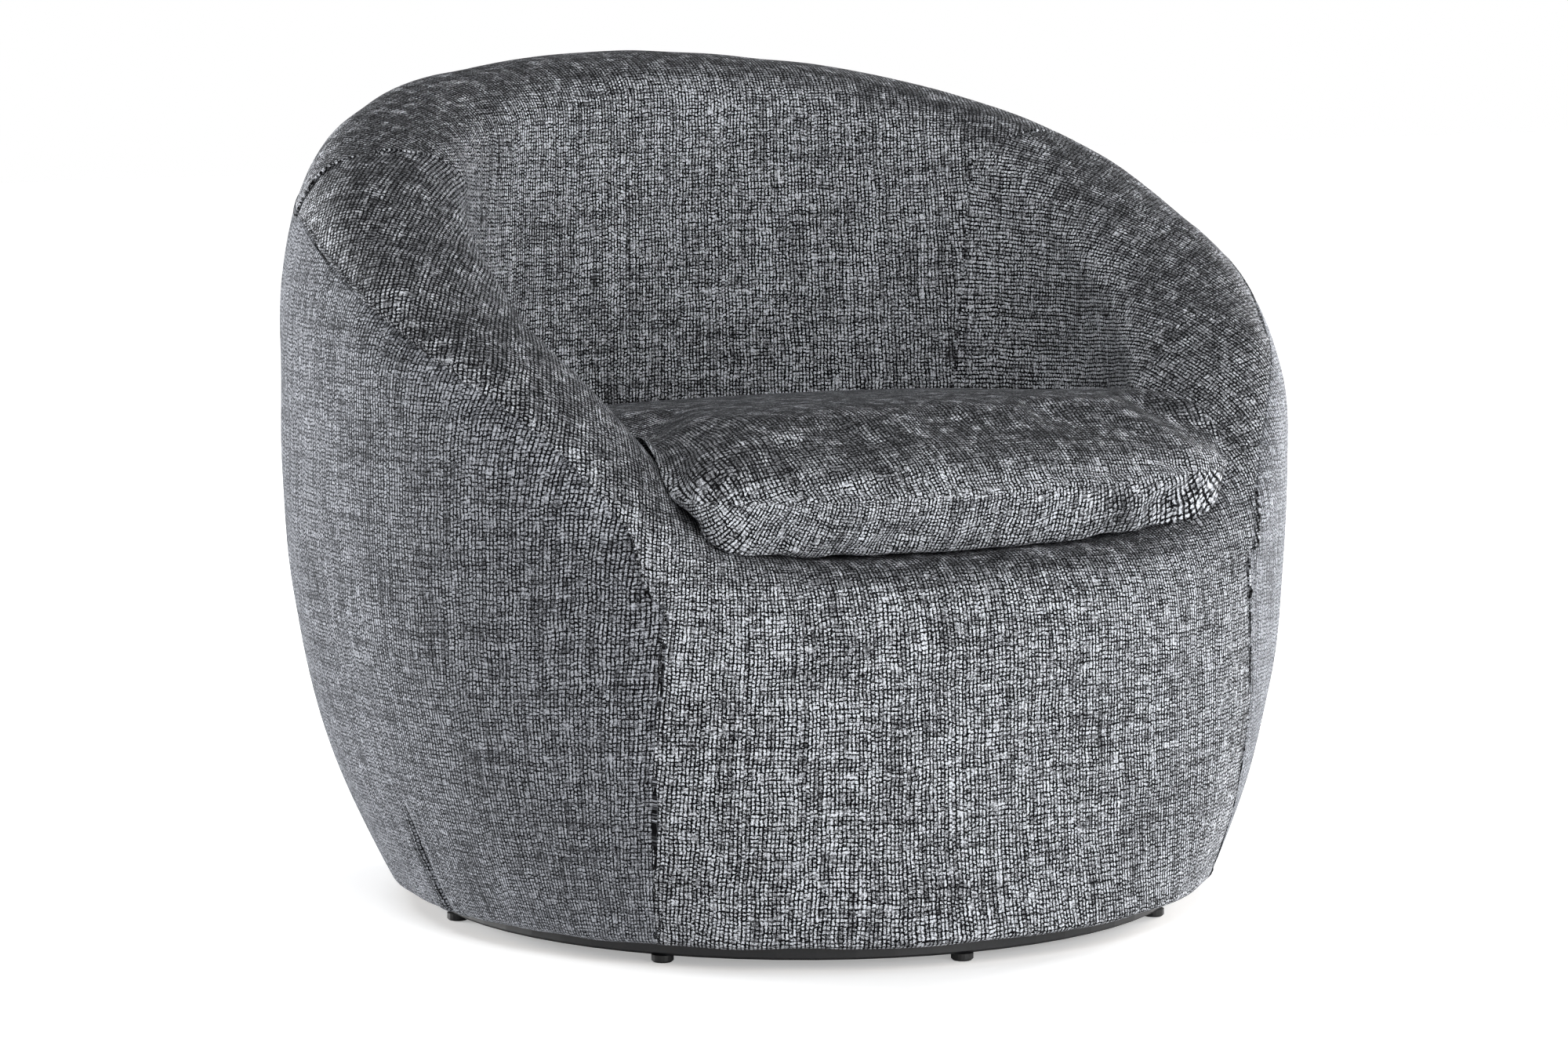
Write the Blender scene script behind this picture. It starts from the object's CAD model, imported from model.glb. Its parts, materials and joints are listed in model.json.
# %% [markdown]
# # A barrel armchair that swivels
#
# The real chair is one upholstered bowl that turns on a low round foot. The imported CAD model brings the
# sizes, the hard pieces inside and the joints. This lesson dresses it: cloth panels whose edges tuck into
# their seams, a cushion that a cloth simulation fills, and a finish for every surface.

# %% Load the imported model
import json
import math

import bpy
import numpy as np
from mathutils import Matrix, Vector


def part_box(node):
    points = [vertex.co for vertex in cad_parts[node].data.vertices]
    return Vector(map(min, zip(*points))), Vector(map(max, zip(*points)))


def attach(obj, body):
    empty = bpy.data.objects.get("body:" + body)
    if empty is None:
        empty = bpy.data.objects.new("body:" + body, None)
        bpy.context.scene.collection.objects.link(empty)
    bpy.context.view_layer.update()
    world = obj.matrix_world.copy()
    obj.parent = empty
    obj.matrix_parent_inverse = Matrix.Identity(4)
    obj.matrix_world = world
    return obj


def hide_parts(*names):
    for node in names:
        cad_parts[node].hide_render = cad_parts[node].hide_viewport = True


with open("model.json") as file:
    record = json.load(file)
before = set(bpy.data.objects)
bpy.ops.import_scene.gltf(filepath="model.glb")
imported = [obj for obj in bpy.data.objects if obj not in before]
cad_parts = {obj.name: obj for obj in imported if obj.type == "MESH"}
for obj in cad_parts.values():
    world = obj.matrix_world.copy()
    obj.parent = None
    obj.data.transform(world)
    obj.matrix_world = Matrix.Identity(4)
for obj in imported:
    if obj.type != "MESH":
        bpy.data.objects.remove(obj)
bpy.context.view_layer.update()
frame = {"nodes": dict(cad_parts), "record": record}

# %% [markdown]
# ## Helpers
#
# Four small tools serve the whole lesson. One turns a hex colour as a paint chart gives it into the
# linear values that the shader works with, one adds a shader node, one makes an empty material, and one
# puts a new object into the scene.

nodes = frame["nodes"]
# Keeps a division by a length from failing where the length is zero.
tiny = 1e-12


def linear(code):
    """Linear colour of an sRGB hex code, by the standard curve."""
    parts = [int(code[k:k + 2], 16) / 255 for k in (0, 2, 4)]
    return [c / 12.92 if c <= 0.04045 else ((c + 0.055) / 1.055) ** 2.4 for c in parts] + [1.0]


def add(tree, kind, inputs=(), **settings):
    """Adds a node: settings are its properties, and inputs maps sockets to values or to other outputs."""
    made = tree.nodes.new("ShaderNode" + kind)
    for name, value in settings.items():
        setattr(made, name, value)
    for socket, value in dict(inputs).items():
        if isinstance(value, bpy.types.NodeSocket):
            tree.links.new(value, made.inputs[socket])
        else:
            made.inputs[socket].default_value = value
    return made


def new_material(name):
    """Returns an empty material and its tree of nodes."""
    made = bpy.data.materials.new(name)
    made.use_nodes = True
    made.node_tree.nodes.clear()
    return made, made.node_tree


def link(name, data):
    """Puts a mesh, a lamp or a camera into the scene as an object."""
    made = bpy.data.objects.new(name, data)
    bpy.context.scene.collection.objects.link(made)
    return made


# %% [markdown]
# ## The camera
#
# The photograph was taken from a little left of the front, from about 85 cm above the floor and with a
# long lens. The place, the aim and the lens were worked out from points that the eye can find on the
# chair, such as the glides, the ends of the cushion and the top of the back.

# %% Set up the camera
camera_place = Vector((-2.1246, -3.6966, 0.8502))
camera_target = Vector((0.0, -0.0313, 0.3483))
camera_data = bpy.data.cameras.new("camera")
camera_data.sensor_width = 36
camera_data.lens = 119.37
camera_data.shift_x = -0.00876
camera_data.shift_y = -0.0339
camera = link("camera", camera_data)
camera.location = camera_place
camera.rotation_euler = (camera_target - camera_place).to_track_quat("-Z", "Y").to_euler()
bpy.context.scene.camera = camera
print(f"camera {(camera_target - camera_place).length:.2f} m from the chair")

# %% [markdown]
# ## The form of the chair
#
# Every upright slice through the swivel axis is one curve: in under the hem, up the belly, over the
# rolled rim and down inside the bowl. Only its measures change on the way round. So the skin is a
# surface with two parameters, the turn round the axis and the way along the slice, and every panel of
# cloth is a piece of that surface. The values are those of the CAD model.

# %% Sizes of the form
half_width, front_reach, back_reach, plan_power = 0.420, 0.320, 0.413, 2.13
hem_radius, hem_height, hem_lip, hem_round = 0.336, 0.018, 0.014, 0.007
belly_height, belly_power, crown_height, crown_power = 0.440, 2.8, 0.090, 2.7
rail_height, back_height, deck_height = 0.3125, 0.681, 0.292
roll_drop, roll_power, roll_room_share = 0.046, 2.3, 0.85
# Three sizes: at the front, at the sides and at the back.
crest_insets = (0.056, 0.075, 0.104)
roll_reaches = (0.046, 0.070, 0.074)
# Tables run from the front, at 0 degrees, to the back, at 180.
climb_turns = (0, 20, 30, 38, 45, 60, 75, 90, 105, 125, 150, 180)
climb_shares = (0.0, 0.004, 0.035, 0.105, 0.205, 0.380, 0.500, 0.625, 0.765, 0.880, 0.963, 1.0)
seam_fall = 0.066
seam_turns = (39.5, 43, 48, 58, 75, 90, 105, 120, 140, 180)
seam_shares = (1.0, 0.55, 0.38, 0.32, 0.34, 0.42, 0.62, 0.90, 1.0, 1.0)
axis = np.array([0.0, -(back_reach - hem_radius) / 2])
print(f"plan of {2 * half_width:.3f} x {front_reach + back_reach:.3f} m, {back_height:.3f} m high")

# %% [markdown]
# ## The measures of a slice
#
# On the way round, every measure of the slice is a curve of its own. The plan is a superellipse, which is
# a little squarer than an ellipse. Sizes that only drift are blended between the front, the sides and the
# back. The rim's climb and the seam's fall have a shape that no formula gives, so each is a short table,
# read as a smooth curve that never swings past its own points.

# %% Curves round the chair


def smooth_table(places, values, at):
    """Reads a smooth curve through a table: cubic pieces whose slopes never overshoot."""
    places = np.asarray(places, float)
    values = np.asarray(values, float)
    steps = np.diff(places)
    slopes = np.diff(values) / steps
    tangents = np.zeros(len(values))
    before, after = slopes[:-1], slopes[1:]
    level = before * after > 0
    tangents[1:-1][level] = 2 * before[level] * after[level] / (before + after)[level]
    at = np.clip(np.asarray(at, float), places[0], places[-1])
    k = np.clip(np.searchsorted(places, at) - 1, 0, len(steps) - 1)
    t = (at - places[k]) / steps[k]
    rise = values[k + 1] - values[k]
    lead = tangents[k] * steps[k]
    tail = tangents[k + 1] * steps[k]
    return values[k] + t * lead + t**2 * (3 * rise - 2 * lead - tail) + t**3 * (lead + tail - 2 * rise)


def away(turn):
    """How far a turn is from the front, in degrees from 0 to 180."""
    return np.degrees(np.abs((turn + math.pi) % (2 * math.pi) - math.pi))


def mix_round(turn, sizes):
    """Blends three sizes round the chair with squared cosines: at the front, the sides and the back."""
    front, side, back = sizes
    ahead = np.maximum(np.cos(turn), 0) ** 2
    behind = np.maximum(-np.cos(turn), 0) ** 2
    return side + (front - side) * ahead + (back - side) * behind


def plan_edge(turn):
    """The widest outline from above: a superellipse, shallower in front of the axis than behind it."""
    across, along = np.sin(turn), -np.cos(turn)
    reach = np.where(along < 0, front_reach, back_reach)
    x = half_width * np.sign(across) * np.abs(across) ** (2 / plan_power)
    y = reach * np.sign(along) * np.abs(along) ** (2 / plan_power)
    return np.stack([x, y], -1)


def heading(turn):
    """Unit direction from the swivel axis to the outline."""
    edge = plan_edge(turn)
    return edge / np.linalg.norm(edge, axis=-1, keepdims=True)


def wide_radius(turn):
    """Distance from the axis to the widest outline."""
    return np.linalg.norm(plan_edge(turn), axis=-1)


def crest_height(turn):
    """Height of the rim, climbing from the front rail to the back."""
    return rail_height + (back_height - rail_height) * smooth_table(climb_turns, climb_shares, away(turn))


def crest_radius(turn):
    """Distance from the axis to the top of the rim."""
    return wide_radius(turn) - mix_round(turn, crest_insets)


def widest_height(turn):
    """Height at which the belly is widest, lower where the rim is low."""
    return np.minimum(belly_height, crest_height(turn) - crown_height)


def seam_height(turn):
    """Height of the seam under the roll, on the outside of the wall."""
    return crest_height(turn) - seam_fall * smooth_table(seam_turns, seam_shares, away(turn))


def inner_drop(turn):
    """How far the inside of the roll comes down, less where the rim is close to the deck."""
    return np.minimum(roll_drop, (crest_height(turn) - deck_height) * roll_room_share)


def belly_radius(turn, height):
    """Radius of the belly: it leaves the hem on a power curve and is upright where it is widest."""
    low = np.clip((height - hem_height) / (widest_height(turn) - hem_height), 0, 1)
    return wide_radius(turn) - (wide_radius(turn) - hem_radius) * (1 - low) ** belly_power


def inner_radius(turn):
    """Radius of the bowl's upright inner wall."""
    return crest_radius(turn) - mix_round(turn, roll_reaches)


def place(turn, radius, height):
    """Points in space from turns, radii and heights."""
    turn, radius, height = np.broadcast_arrays(turn, radius, height)
    flat = axis + heading(turn) * radius[..., None]
    return np.concatenate([flat, height[..., None]], -1)


print(f"rim from {crest_height(0.0):.3f} m at the front to {crest_height(math.pi):.3f} m at the back")

# %% [markdown]
# ## The slice
#
# Along the slice the way is counted in spans: 0 is the lip under the hem, 1 the hem, 2 the seam under the
# roll, 3 the crest, 4 the end of the roll and 5 the foot of the bowl. The crown and the roll are quarter
# superellipses, walked by an angle, so that the top of the rim is smooth. A panel needs rows at even
# distances in metres, so a second function finds the way for a given length of cloth.

# %% The surface of the skin
LIP, HEM, SEAM, CREST, ROLL, FOOT = range(6)


def quarter(angle, power):
    """One quarter of a superellipse of radius 1: the sine and cosine, each to the power 2 / power."""
    return np.abs(np.sin(angle)) ** (2 / power), np.abs(np.cos(angle)) ** (2 / power)


def crown_share(height, middle, top):
    """How far the crown still is out at a height: 1 up to the widest height, and 0 at the crest."""
    high = np.clip((height - middle) / (top - middle), 0, 1)
    return (1 - high**crown_power) ** (1 / crown_power)


def skin(turn, way):
    """Radius and height of the skin for arrays of turns and ways.

    Each span has its own curve, and the way picks one: a quadratic curve round the hem, the belly's power
    curve, the crown's quarter from the seam to the crest, the roll's quarter and the upright wall.
    """
    turn, way = np.broadcast_arrays(np.asarray(turn, float), np.asarray(way, float))
    share = [np.clip(way - k, 0, 1) for k in range(FOOT)]
    wide, peak, top = wide_radius(turn), crest_radius(turn), crest_height(turn)
    middle, seam, drop = widest_height(turn), seam_height(turn), inner_drop(turn)
    low = hem_height + hem_round
    t = share[LIP]
    lip, belly_start = hem_radius - hem_lip, belly_radius(turn, low)
    hem = (1 - t) ** 2 * lip + 2 * t * (1 - t) * hem_radius + t**2 * belly_start
    belly = low + (seam - low) * share[HEM]
    start = np.arcsin(((seam - middle) / (top - middle)) ** (crown_power / 2))
    rise, over = quarter(start + (math.pi / 2 - start) * share[SEAM], crown_power)
    reach, sink = quarter(math.pi / 2 * share[CREST], roll_power)
    wall_top, inside = top - drop, inner_radius(turn)
    # Below the widest height the crown's curve has no say, so a low seam reads the belly's own radius.
    radii = [
        hem,
        belly_radius(turn, belly) - (wide - peak) * (1 - crown_share(belly, middle, top)),
        wide - (wide - peak) * (1 - over),
        peak - (peak - inside) * reach,
        inside,
    ]
    heights = [
        hem_height + hem_round * t**2,
        belly,
        middle + (top - middle) * rise,
        top - drop * (1 - sink),
        wall_top + (deck_height - wall_top) * share[ROLL],
    ]
    picks = [way < HEM, way < SEAM, way < CREST, way < ROLL]
    return np.select(picks, radii[:4], radii[4]), np.select(picks, heights[:4], heights[4])


def lengths_along(turns, start, end, count=900):
    """Ways from start to end and the length of cloth up to each of them, one column for each turn."""
    ways = np.linspace(start, end, count)[:, None]
    radius, height = skin(turns[None, :], ways)
    steps = np.hypot(np.diff(radius, axis=0), np.diff(height, axis=0))
    return ways[:, 0], np.concatenate([np.zeros((1, len(turns))), np.cumsum(steps, 0)])


def ways_at(distance, lengths, ways):
    """The ways that lie at given lengths of cloth up each column."""
    columns = range(lengths.shape[1])
    return np.stack([np.interp(distance[:, k], lengths[:, k], ways) for k in columns], 1)


def seam_slant(turns):
    """Length of the seam under the roll for each metre round the chair, at a row of turns."""
    radius, height = skin(turns, SEAM)
    seam = place(turns, radius, height)
    run = np.linalg.norm(np.gradient(seam[:, :2], axis=0), axis=-1)
    return np.hypot(1, np.gradient(seam[:, 2]) / np.maximum(run, tiny))


side_lengths = lengths_along(np.array([0, math.pi / 2, math.pi]), LIP, FOOT)[1]
print("cloth along the slice, front, side and back:", np.round(side_lengths[-1], 3), "m")

# %% [markdown]
# ## Seams
#
# A plain seam shows as a fine valley: both panels turn down into it on a small radius and meet below.
# The grids therefore have close rows at a sewn edge, and each point near the edge sinks along the
# surface's normal on a quarter circle. A last row goes straight down into the seam as its allowance.

# %% Rows near an edge and the tuck
tuck_radius = 0.0010
allowance = 0.0024
near_edge = np.array([-allowance, 0, 0.0002, 0.0005, 0.0010, 0.0017, 0.0030])


def spread(length, count, head, tail, slant=1.0):
    """Distances over a length: close at a sewn end, even between, with count steps in the middle.

    Where a seam runs at a slant to the columns, its close rows are that much further apart on them.
    """
    length = np.atleast_1d(length)[None, :]
    first = (near_edge if head else np.zeros(1))[:, None] * slant + 0 * length
    last = length - (near_edge if tail else np.zeros(1))[::-1, None] * slant
    steps = np.linspace(0, 1, count + 1)[1:-1, None]
    return np.concatenate([first, first[-1] + (last[0] - first[-1]) * steps, last])


def tuck(distance):
    """Depth below the skin at a distance from a sewn edge: a quarter circle, then straight down."""
    inside = np.clip(tuck_radius - distance, 0, tuck_radius)
    return tuck_radius - np.sqrt(tuck_radius**2 - inside**2) + np.clip(-distance, 0, allowance)


print(f"seams tuck in by {tuck_radius * 1000:.1f} mm on a quarter circle")

# %% [markdown]
# ## Lumps and puckers
#
# Cloth that a hand has drawn over foam is never quite even. A sum of long sine waves in many directions
# gives it soft lumps. Close to a seam the thread gathers the cloth a little, which gives faint puckers
# across it. They are about 14 mm apart, and come and go in groups.

# %% Lumps and puckers
lump_height, pucker_height = 0.0007, 0.00035
wave_count, shortest_wave, longest_wave = 18, 0.055, 0.17
pucker_step, pucker_drift, pucker_group, pucker_fade = 0.0022, 0.0071, 0.0137, 0.007
drift_strength, group_start = 1.7, 0.6

rng = np.random.default_rng(11)
wave_lengths = rng.uniform(shortest_wave, longest_wave, wave_count)
wave_ways = rng.normal(size=(wave_count, 3))
wave_ways *= (2 * math.pi / wave_lengths / np.linalg.norm(wave_ways, axis=1))[:, None]
wave_starts = rng.uniform(0, 2 * math.pi, wave_count)


def swell(points):
    """Soft lumps of hand upholstery, about 1 in size: a sum of sine waves in many directions."""
    waves = np.sin(points @ wave_ways.T + wave_starts)
    return waves.sum(-1) / math.sqrt(wave_count)


def pucker(along, distance):
    """Faint folds across a seam, about 1 in size: a wave along it that dies away from it.

    A slower sine presses and stretches the wave, and a third one lets it come and go in groups.
    """
    phase = along / pucker_step + drift_strength * np.sin(along / pucker_drift)
    wave = np.sin(phase) * np.sin(along / pucker_group + group_start)
    return wave * np.exp(-np.clip(distance, 0, None) / pucker_fade)


def normals_of(points):
    """Outward normals of a grid: the tangent along the rows crossed with the one up the columns."""
    across, up = np.gradient(points, axis=1), np.gradient(points, axis=0)
    normal = np.cross(across, up)
    return normal / np.maximum(np.linalg.norm(normal, axis=-1, keepdims=True), tiny)


def sewn_points(points, along, edge, crease=0.0):
    """Moves the skin's points along its normals: lumps, puckers, a crease and the tuck at the edges."""
    lift = lump_height * swell(points) + pucker_height * pucker(along, edge) - crease - tuck(edge)
    return points + normals_of(points) * lift[..., None]


print(f"{wave_count} waves of {shortest_wave} to {longest_wave} m make the lumps")

# %% [markdown]
# ## From a grid to a piece of cloth
#
# Each panel becomes a mesh with three things that its material reads. The UV map "weave" is in metres of
# cloth, so that the threads keep their size and follow the panel as it was cut. The attribute "edge" is
# the distance to the nearest seam, and "nap" is how far the pile leans back on a surface that faces up.

# %% Build a mesh from a grid
cloth_thickness = 0.0018


def positions(mesh):
    """All vertices of a mesh as an array."""
    flat = np.zeros(len(mesh.vertices) * 3, np.float32)
    mesh.vertices.foreach_get("co", flat)
    return flat.reshape(-1, 3).astype(float)


def corner_numbers(mesh):
    """The vertex number of each corner of each face."""
    numbers = np.empty(len(mesh.loops), int)
    mesh.loops.foreach_get("vertex_index", numbers)
    return numbers


def area_of(mesh):
    """Area of all faces, in square metres."""
    return sum(face.area for face in mesh.polygons)


def arc(points, axis_number):
    """Length along the grid's rows (1) or columns (0), from its first line."""
    steps = np.linalg.norm(np.diff(points, axis=axis_number), axis=-1)
    return np.insert(np.cumsum(steps, axis_number), 0, 0, axis=axis_number)


def cells_of(index):
    """The four vertex numbers of each cell of a grid."""
    return np.stack([index[:-1, :-1], index[:-1, 1:], index[1:, 1:], index[1:, :-1]], -1)


def mesh_piece(name, points, quads):
    """A smooth piece from an array of points and an array of quads."""
    mesh = bpy.data.meshes.new(name)
    mesh.from_pydata(points.tolist(), [], quads.tolist())
    mesh.shade_smooth()
    return link(name, mesh)


def dress(mesh, edge, nap):
    """Adds the two attributes of the vertices and a weave map that is still empty."""
    mesh.uv_layers.new(name="weave")
    for name, values in (("edge", edge), ("nap", nap)):
        layer = mesh.attributes.new(name, "FLOAT", "POINT")
        layer.data.foreach_set("value", values.astype(np.float32))


def set_weave(mesh, flat):
    """Fills the weave map: metres of cloth across and up, for each corner of each face."""
    mesh.uv_layers["weave"].data.foreach_set("uv", flat.astype(np.float32).ravel())


def grid_piece(name, points, edge, keep=True):
    """A cloth piece from a grid: its kept cells as quads, seen from outside, with a thickness inwards."""
    cells = cells_of(np.arange(edge.size).reshape(edge.shape))
    quads = cells[np.broadcast_to(keep, cells.shape[:2])]
    used = np.unique(quads)
    renumber = np.zeros(edge.size, int)
    renumber[used] = np.arange(len(used))
    piece = mesh_piece(name, points.reshape(-1, 3)[used], renumber[quads])
    facing = np.clip(normals_of(points)[..., 2], 0, 1)
    dress(piece.data, edge.reshape(-1)[used], facing.reshape(-1)[used])
    thicken = piece.modifiers.new("thickness", "SOLIDIFY")
    thicken.thickness = cloth_thickness
    thicken.offset = -1
    print(f"{name}: {len(quads)} cells, area {area_of(piece.data):.3f} m²")
    return piece


# %% [markdown]
# ## Laying a panel flat
#
# Cloth is woven flat, so its threads can only run as they would on the flat panel. On a panel that bends
# both ways the lengths of a few rows won't give that, because the error grows from row to row. Blender's
# unwrapping by angles keeps the threads square to each other nearly everywhere. It knows nothing of real
# sizes or of what is up, so the map is then scaled by its area, and turned until the cells that face the
# front lie as they do in a view from the front.

# %% Unwrap a piece
faces_front = 0.8


def unwrap(piece, sides=1):
    """Lays a panel flat with as little stretch as its shape allows, at real size, its front upright.

    A piece of several panels has them one after the other in its cells, with seams between them. A point
    of the map is a complex number, so that one product turns and scales it.
    """
    bpy.context.view_layer.objects.active = piece
    piece.select_set(True)
    bpy.ops.object.mode_set(mode="EDIT")
    bpy.ops.mesh.select_all(action="SELECT")
    bpy.ops.uv.unwrap(method="ANGLE_BASED", margin=0)
    bpy.ops.object.mode_set(mode="OBJECT")
    piece.select_set(False)
    flat = np.empty(len(piece.data.loops) * 2)
    piece.data.uv_layers["weave"].data.foreach_get("uv", flat)
    flat = flat.reshape(-1, 4, 2) @ (1, 1j)
    corners = positions(piece.data)[corner_numbers(piece.data)].reshape(-1, 4, 3)
    facing = np.cross(corners[:, 2] - corners[:, 0], corners[:, 3] - corners[:, 1])
    cloth = np.linalg.norm(facing, axis=-1)
    for cells in np.array_split(np.arange(len(flat)), sides):
        part = flat[cells]
        crossed = np.conj(part[:, 2] - part[:, 0]) * (part[:, 3] - part[:, 1])
        part = (part - part.mean()) * math.sqrt(cloth[cells].sum() / np.abs(crossed.imag).sum())
        ahead = -facing[cells, 1] > faces_front * cloth[cells]
        seen = (corners[cells][ahead] @ (1, 0, 1j)).ravel()
        turned = np.conj(part[ahead].ravel() - part[ahead].mean()) @ (seen - seen.mean())
        flat[cells] = part * turned / abs(turned)
        print(f"{piece.name}: laid flat {np.ptp(part.real):.3f} x {np.ptp(part.imag):.3f} m")
    set_weave(piece.data, np.stack([flat.real, flat.imag], -1))
    return piece


# %% [markdown]
# ## The outside panels
#
# Two panels cover the outside, left and right, with a seam up the middle of the back. They run from the
# hem to the seam under the roll, and forward to the seam beside the front, which leans a little. They
# bend so little that two lengths will do as their weave map: the way round the widest plan, and the way
# up each column. The upright threads come closer together towards the hem.

# %% Columns of an outside panel
front_seam_low, front_seam_high = math.radians(41.3), math.radians(38.4)
column_radius = 0.38
outside_columns, outside_rows, lean_share = 150, 78, 0.5
hem_ways = np.linspace(LIP, HEM, 7)[:-1, None]
corner_columns = np.arange(0.0042, 0.045, 0.0015)
dart_turn, dart_room = math.radians(85), 0.015
half_dart = np.array([0.0008, 0.0016, 0.0028, 0.0042, 0.006, 0.009, 0.013])


def outside_distances(reach):
    """Columns of an outside panel, from the front seam on: close in its corner and at the dart."""
    distance = spread(reach, outside_columns, True, True)[:, 0]
    dart = (dart_turn - front_seam_high) * column_radius
    past_corner = (distance > corner_columns[-1]) & (np.abs(distance - dart) > dart_room)
    kept = distance[past_corner | (distance < corner_columns[0])]
    return np.sort(np.concatenate([kept, corner_columns, dart - half_dart, [dart], dart + half_dart]))


print(f"front seam at {math.degrees(front_seam_high):.1f}°, dart at {math.degrees(dart_turn):.0f}°")

# %% [markdown]
# ## The dart
#
# Cloth that has to go from the wide belly to the narrow foot is too full at the hem. Each outside panel
# has one dart low on its side that takes the fullness in: a sharp valley that runs out above the hem,
# with the cloth standing up a little in a bank on both sides of it.

# %% Outside panels, left and right
dart_top, dart_depth, dart_width, dart_fade = 0.120, 0.0060, 0.0045, 0.8
bank_place, bank_width, bank_share = 0.016, 0.010, 0.35


def dart_crease(turn, height):
    """Depth of the dart: a bell across it less a weaker one on both sides, deepest at the hem."""
    from_dart = (turn - dart_turn) * column_radius
    depth = dart_depth * np.clip((dart_top - height) / dart_top, 0, 1) ** dart_fade
    bank = np.exp(-(((np.abs(from_dart) - bank_place) / bank_width) ** 2))
    return depth * (np.exp(-((from_dart / dart_width) ** 2)) - bank_share * bank)


def outside_cloth(name, side):
    """One outside panel: columns from the front seam to the middle of the back, rows up to the seam."""
    reach = (math.pi - front_seam_high) * column_radius
    distance = outside_distances(reach)
    turns = front_seam_high + np.clip(distance, 0, reach) / column_radius
    ways, lengths = lengths_along(turns, HEM, SEAM)
    slant = seam_slant(turns)
    rise = spread(lengths[-1], outside_rows, False, True, slant)
    way = np.concatenate([hem_ways + 0 * turns, ways_at(rise, lengths, ways)])
    # The front seam leans: its turn grows towards the hem, and the columns behind it follow less and less.
    lean = (front_seam_low - front_seam_high) * np.clip(SEAM - way, 0, 1)
    turn = turns + lean * np.clip(1 - distance / (lean_share * reach), 0, 1) ** 2
    points = place(turn, *skin(turn, way))
    to_seam = np.concatenate([lengths[-1] + 0 * hem_ways, lengths[-1] - rise]) / slant
    to_side = np.minimum(distance, reach - distance)
    edge = np.minimum(to_seam, to_side)
    along = np.where(to_seam < to_side, distance, to_seam)
    outline = arc(place(turns, wide_radius(turns), 0.0)[None], 1)
    weave = np.stack([outline + 0 * way, arc(points, 0)], -1)
    points = sewn_points(points, along, edge, dart_crease(turn, points[..., 2]))
    if side < 0:
        points, weave, edge = points[:, ::-1] * (-1, 1, 1), weave[:, ::-1] * (-1, 1), edge[:, ::-1]
    piece = grid_piece(name, points, edge)
    set_weave(piece.data, weave.reshape(-1, 2)[corner_numbers(piece.data)])
    return piece


outside_right = outside_cloth("outside_cloth_right", 1)
outside_left = outside_cloth("outside_cloth_left", -1)

# %% [markdown]
# ## Arms and front
#
# One panel makes both arms, the front rail and the front: a long band over the rim with a flap that
# hangs down in front, so there is no seam between the front and the seat. It is one grid in the shape of
# a T, with the cells beside the flap left out. The distance to its edge is the distance to that missing
# corner, which is a wedge, because the seam over it climbs.

# %% Columns and rows of the T
back_seam_low, back_seam_high = math.radians(123), math.radians(111.5)
lean_from = math.radians(70)
flap_columns, flap_rows, arm_columns, band_rows = 46, 56, 100, 84
# The flap ends with the column of its allowance. The next column lies 2 allowances past its edge.
flap_end = -1.5 * allowance


def mirrored(half, sign=1):
    """A row of values from left to right, from its right half, which starts in the middle."""
    return np.concatenate([sign * half[:0:-1], half])


def t_columns():
    """Columns of the T, as distances on the widest plan.

    They are measured from the middle, from the flap's edge, negative past it, and from the panel's end.
    """
    corner, end = front_seam_high * column_radius, back_seam_high * column_radius
    front = np.linspace(0, corner - near_edge[-1], flap_columns)[:-1]
    behind = spread(end - corner, arm_columns, False, True)[:, 0]
    behind = np.concatenate([corner_columns, behind[behind > corner_columns[-1]]])
    behind = np.append(2 * allowance, behind[behind > 2 * allowance])
    side = np.concatenate([corner - front, near_edge[::-1], -behind])
    reach = corner - side
    return mirrored(np.minimum(reach, end), -1), mirrored(side), mirrored(end - reach)


def t_rows(turns, side, slant):
    """Rows of the T: the curve under the hem, the flap, and the band with close rows over the seam.

    Returns the ways, the lengths of cloth above the seam's level and the number of the allowance's row.
    """
    flap_ways, flap_lengths = lengths_along(turns, HEM, SEAM)
    climb = flap_lengths[-1] * np.linspace(0, 1, flap_rows)[:-1, None]
    flap = ways_at(climb, flap_lengths, flap_ways)
    band_ways, band_lengths = lengths_along(turns, SEAM, FOOT)
    rise = spread(band_lengths[-1], band_rows, True, False, slant)
    way = np.concatenate([hem_ways + 0 * turns, flap, ways_at(rise, band_lengths, band_ways)])
    above = np.concatenate([-(flap_lengths[-1] + 0 * hem_ways), climb - flap_lengths[-1], rise])
    # In front, the row of the allowance is one more row of the flap, just under the seam's height.
    last = len(hem_ways) + len(flap)
    slope = np.gradient(flap[-3:], axis=0)[-1] / np.gradient(climb[-3:], axis=0)[-1]
    way[last] = np.where(side > 0, SEAM - allowance * slope, way[last])
    return way, above, last


print(f"a T of {len(t_columns()[0])} columns")

# %% [markdown]
# ## The T on the chair
#
# The grid's columns are carried to their turns round the chair. Those of the flap end at the seam beside
# the front and lean with it, and those at the ends of the arms lean with the seam to the inside back.
# The cells that would lie under the arms, where the outside panels are, are left out.

# %% Arms and front in one panel


def seam_turn(way):
    """Turn of the seam between arm and inside back, which comes forward from the foot to the crest."""
    return back_seam_high + (back_seam_low - back_seam_high) * np.clip((way - CREST) / (FOOT - CREST), 0, 1)


def band_turn(turns, way):
    """Turns of the band's points: the columns behind lean_from follow the seam's lean."""
    share = np.clip((np.abs(turns) - lean_from) / (back_seam_high - lean_from), 0, None)
    return turns + np.sign(turns) * share * (seam_turn(way) - back_seam_high)


def wedge_distance(beside, above, steep):
    """Distance to the missing corner: square to its climbing upper side, or straight to its tip."""
    climb = math.sqrt(steep**2 - 1)
    up_seam = (above * climb - beside) / steep
    from_seam = (above + beside * climb) / steep
    return np.where(up_seam > 0, from_seam, np.hypot(beside, above))


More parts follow.
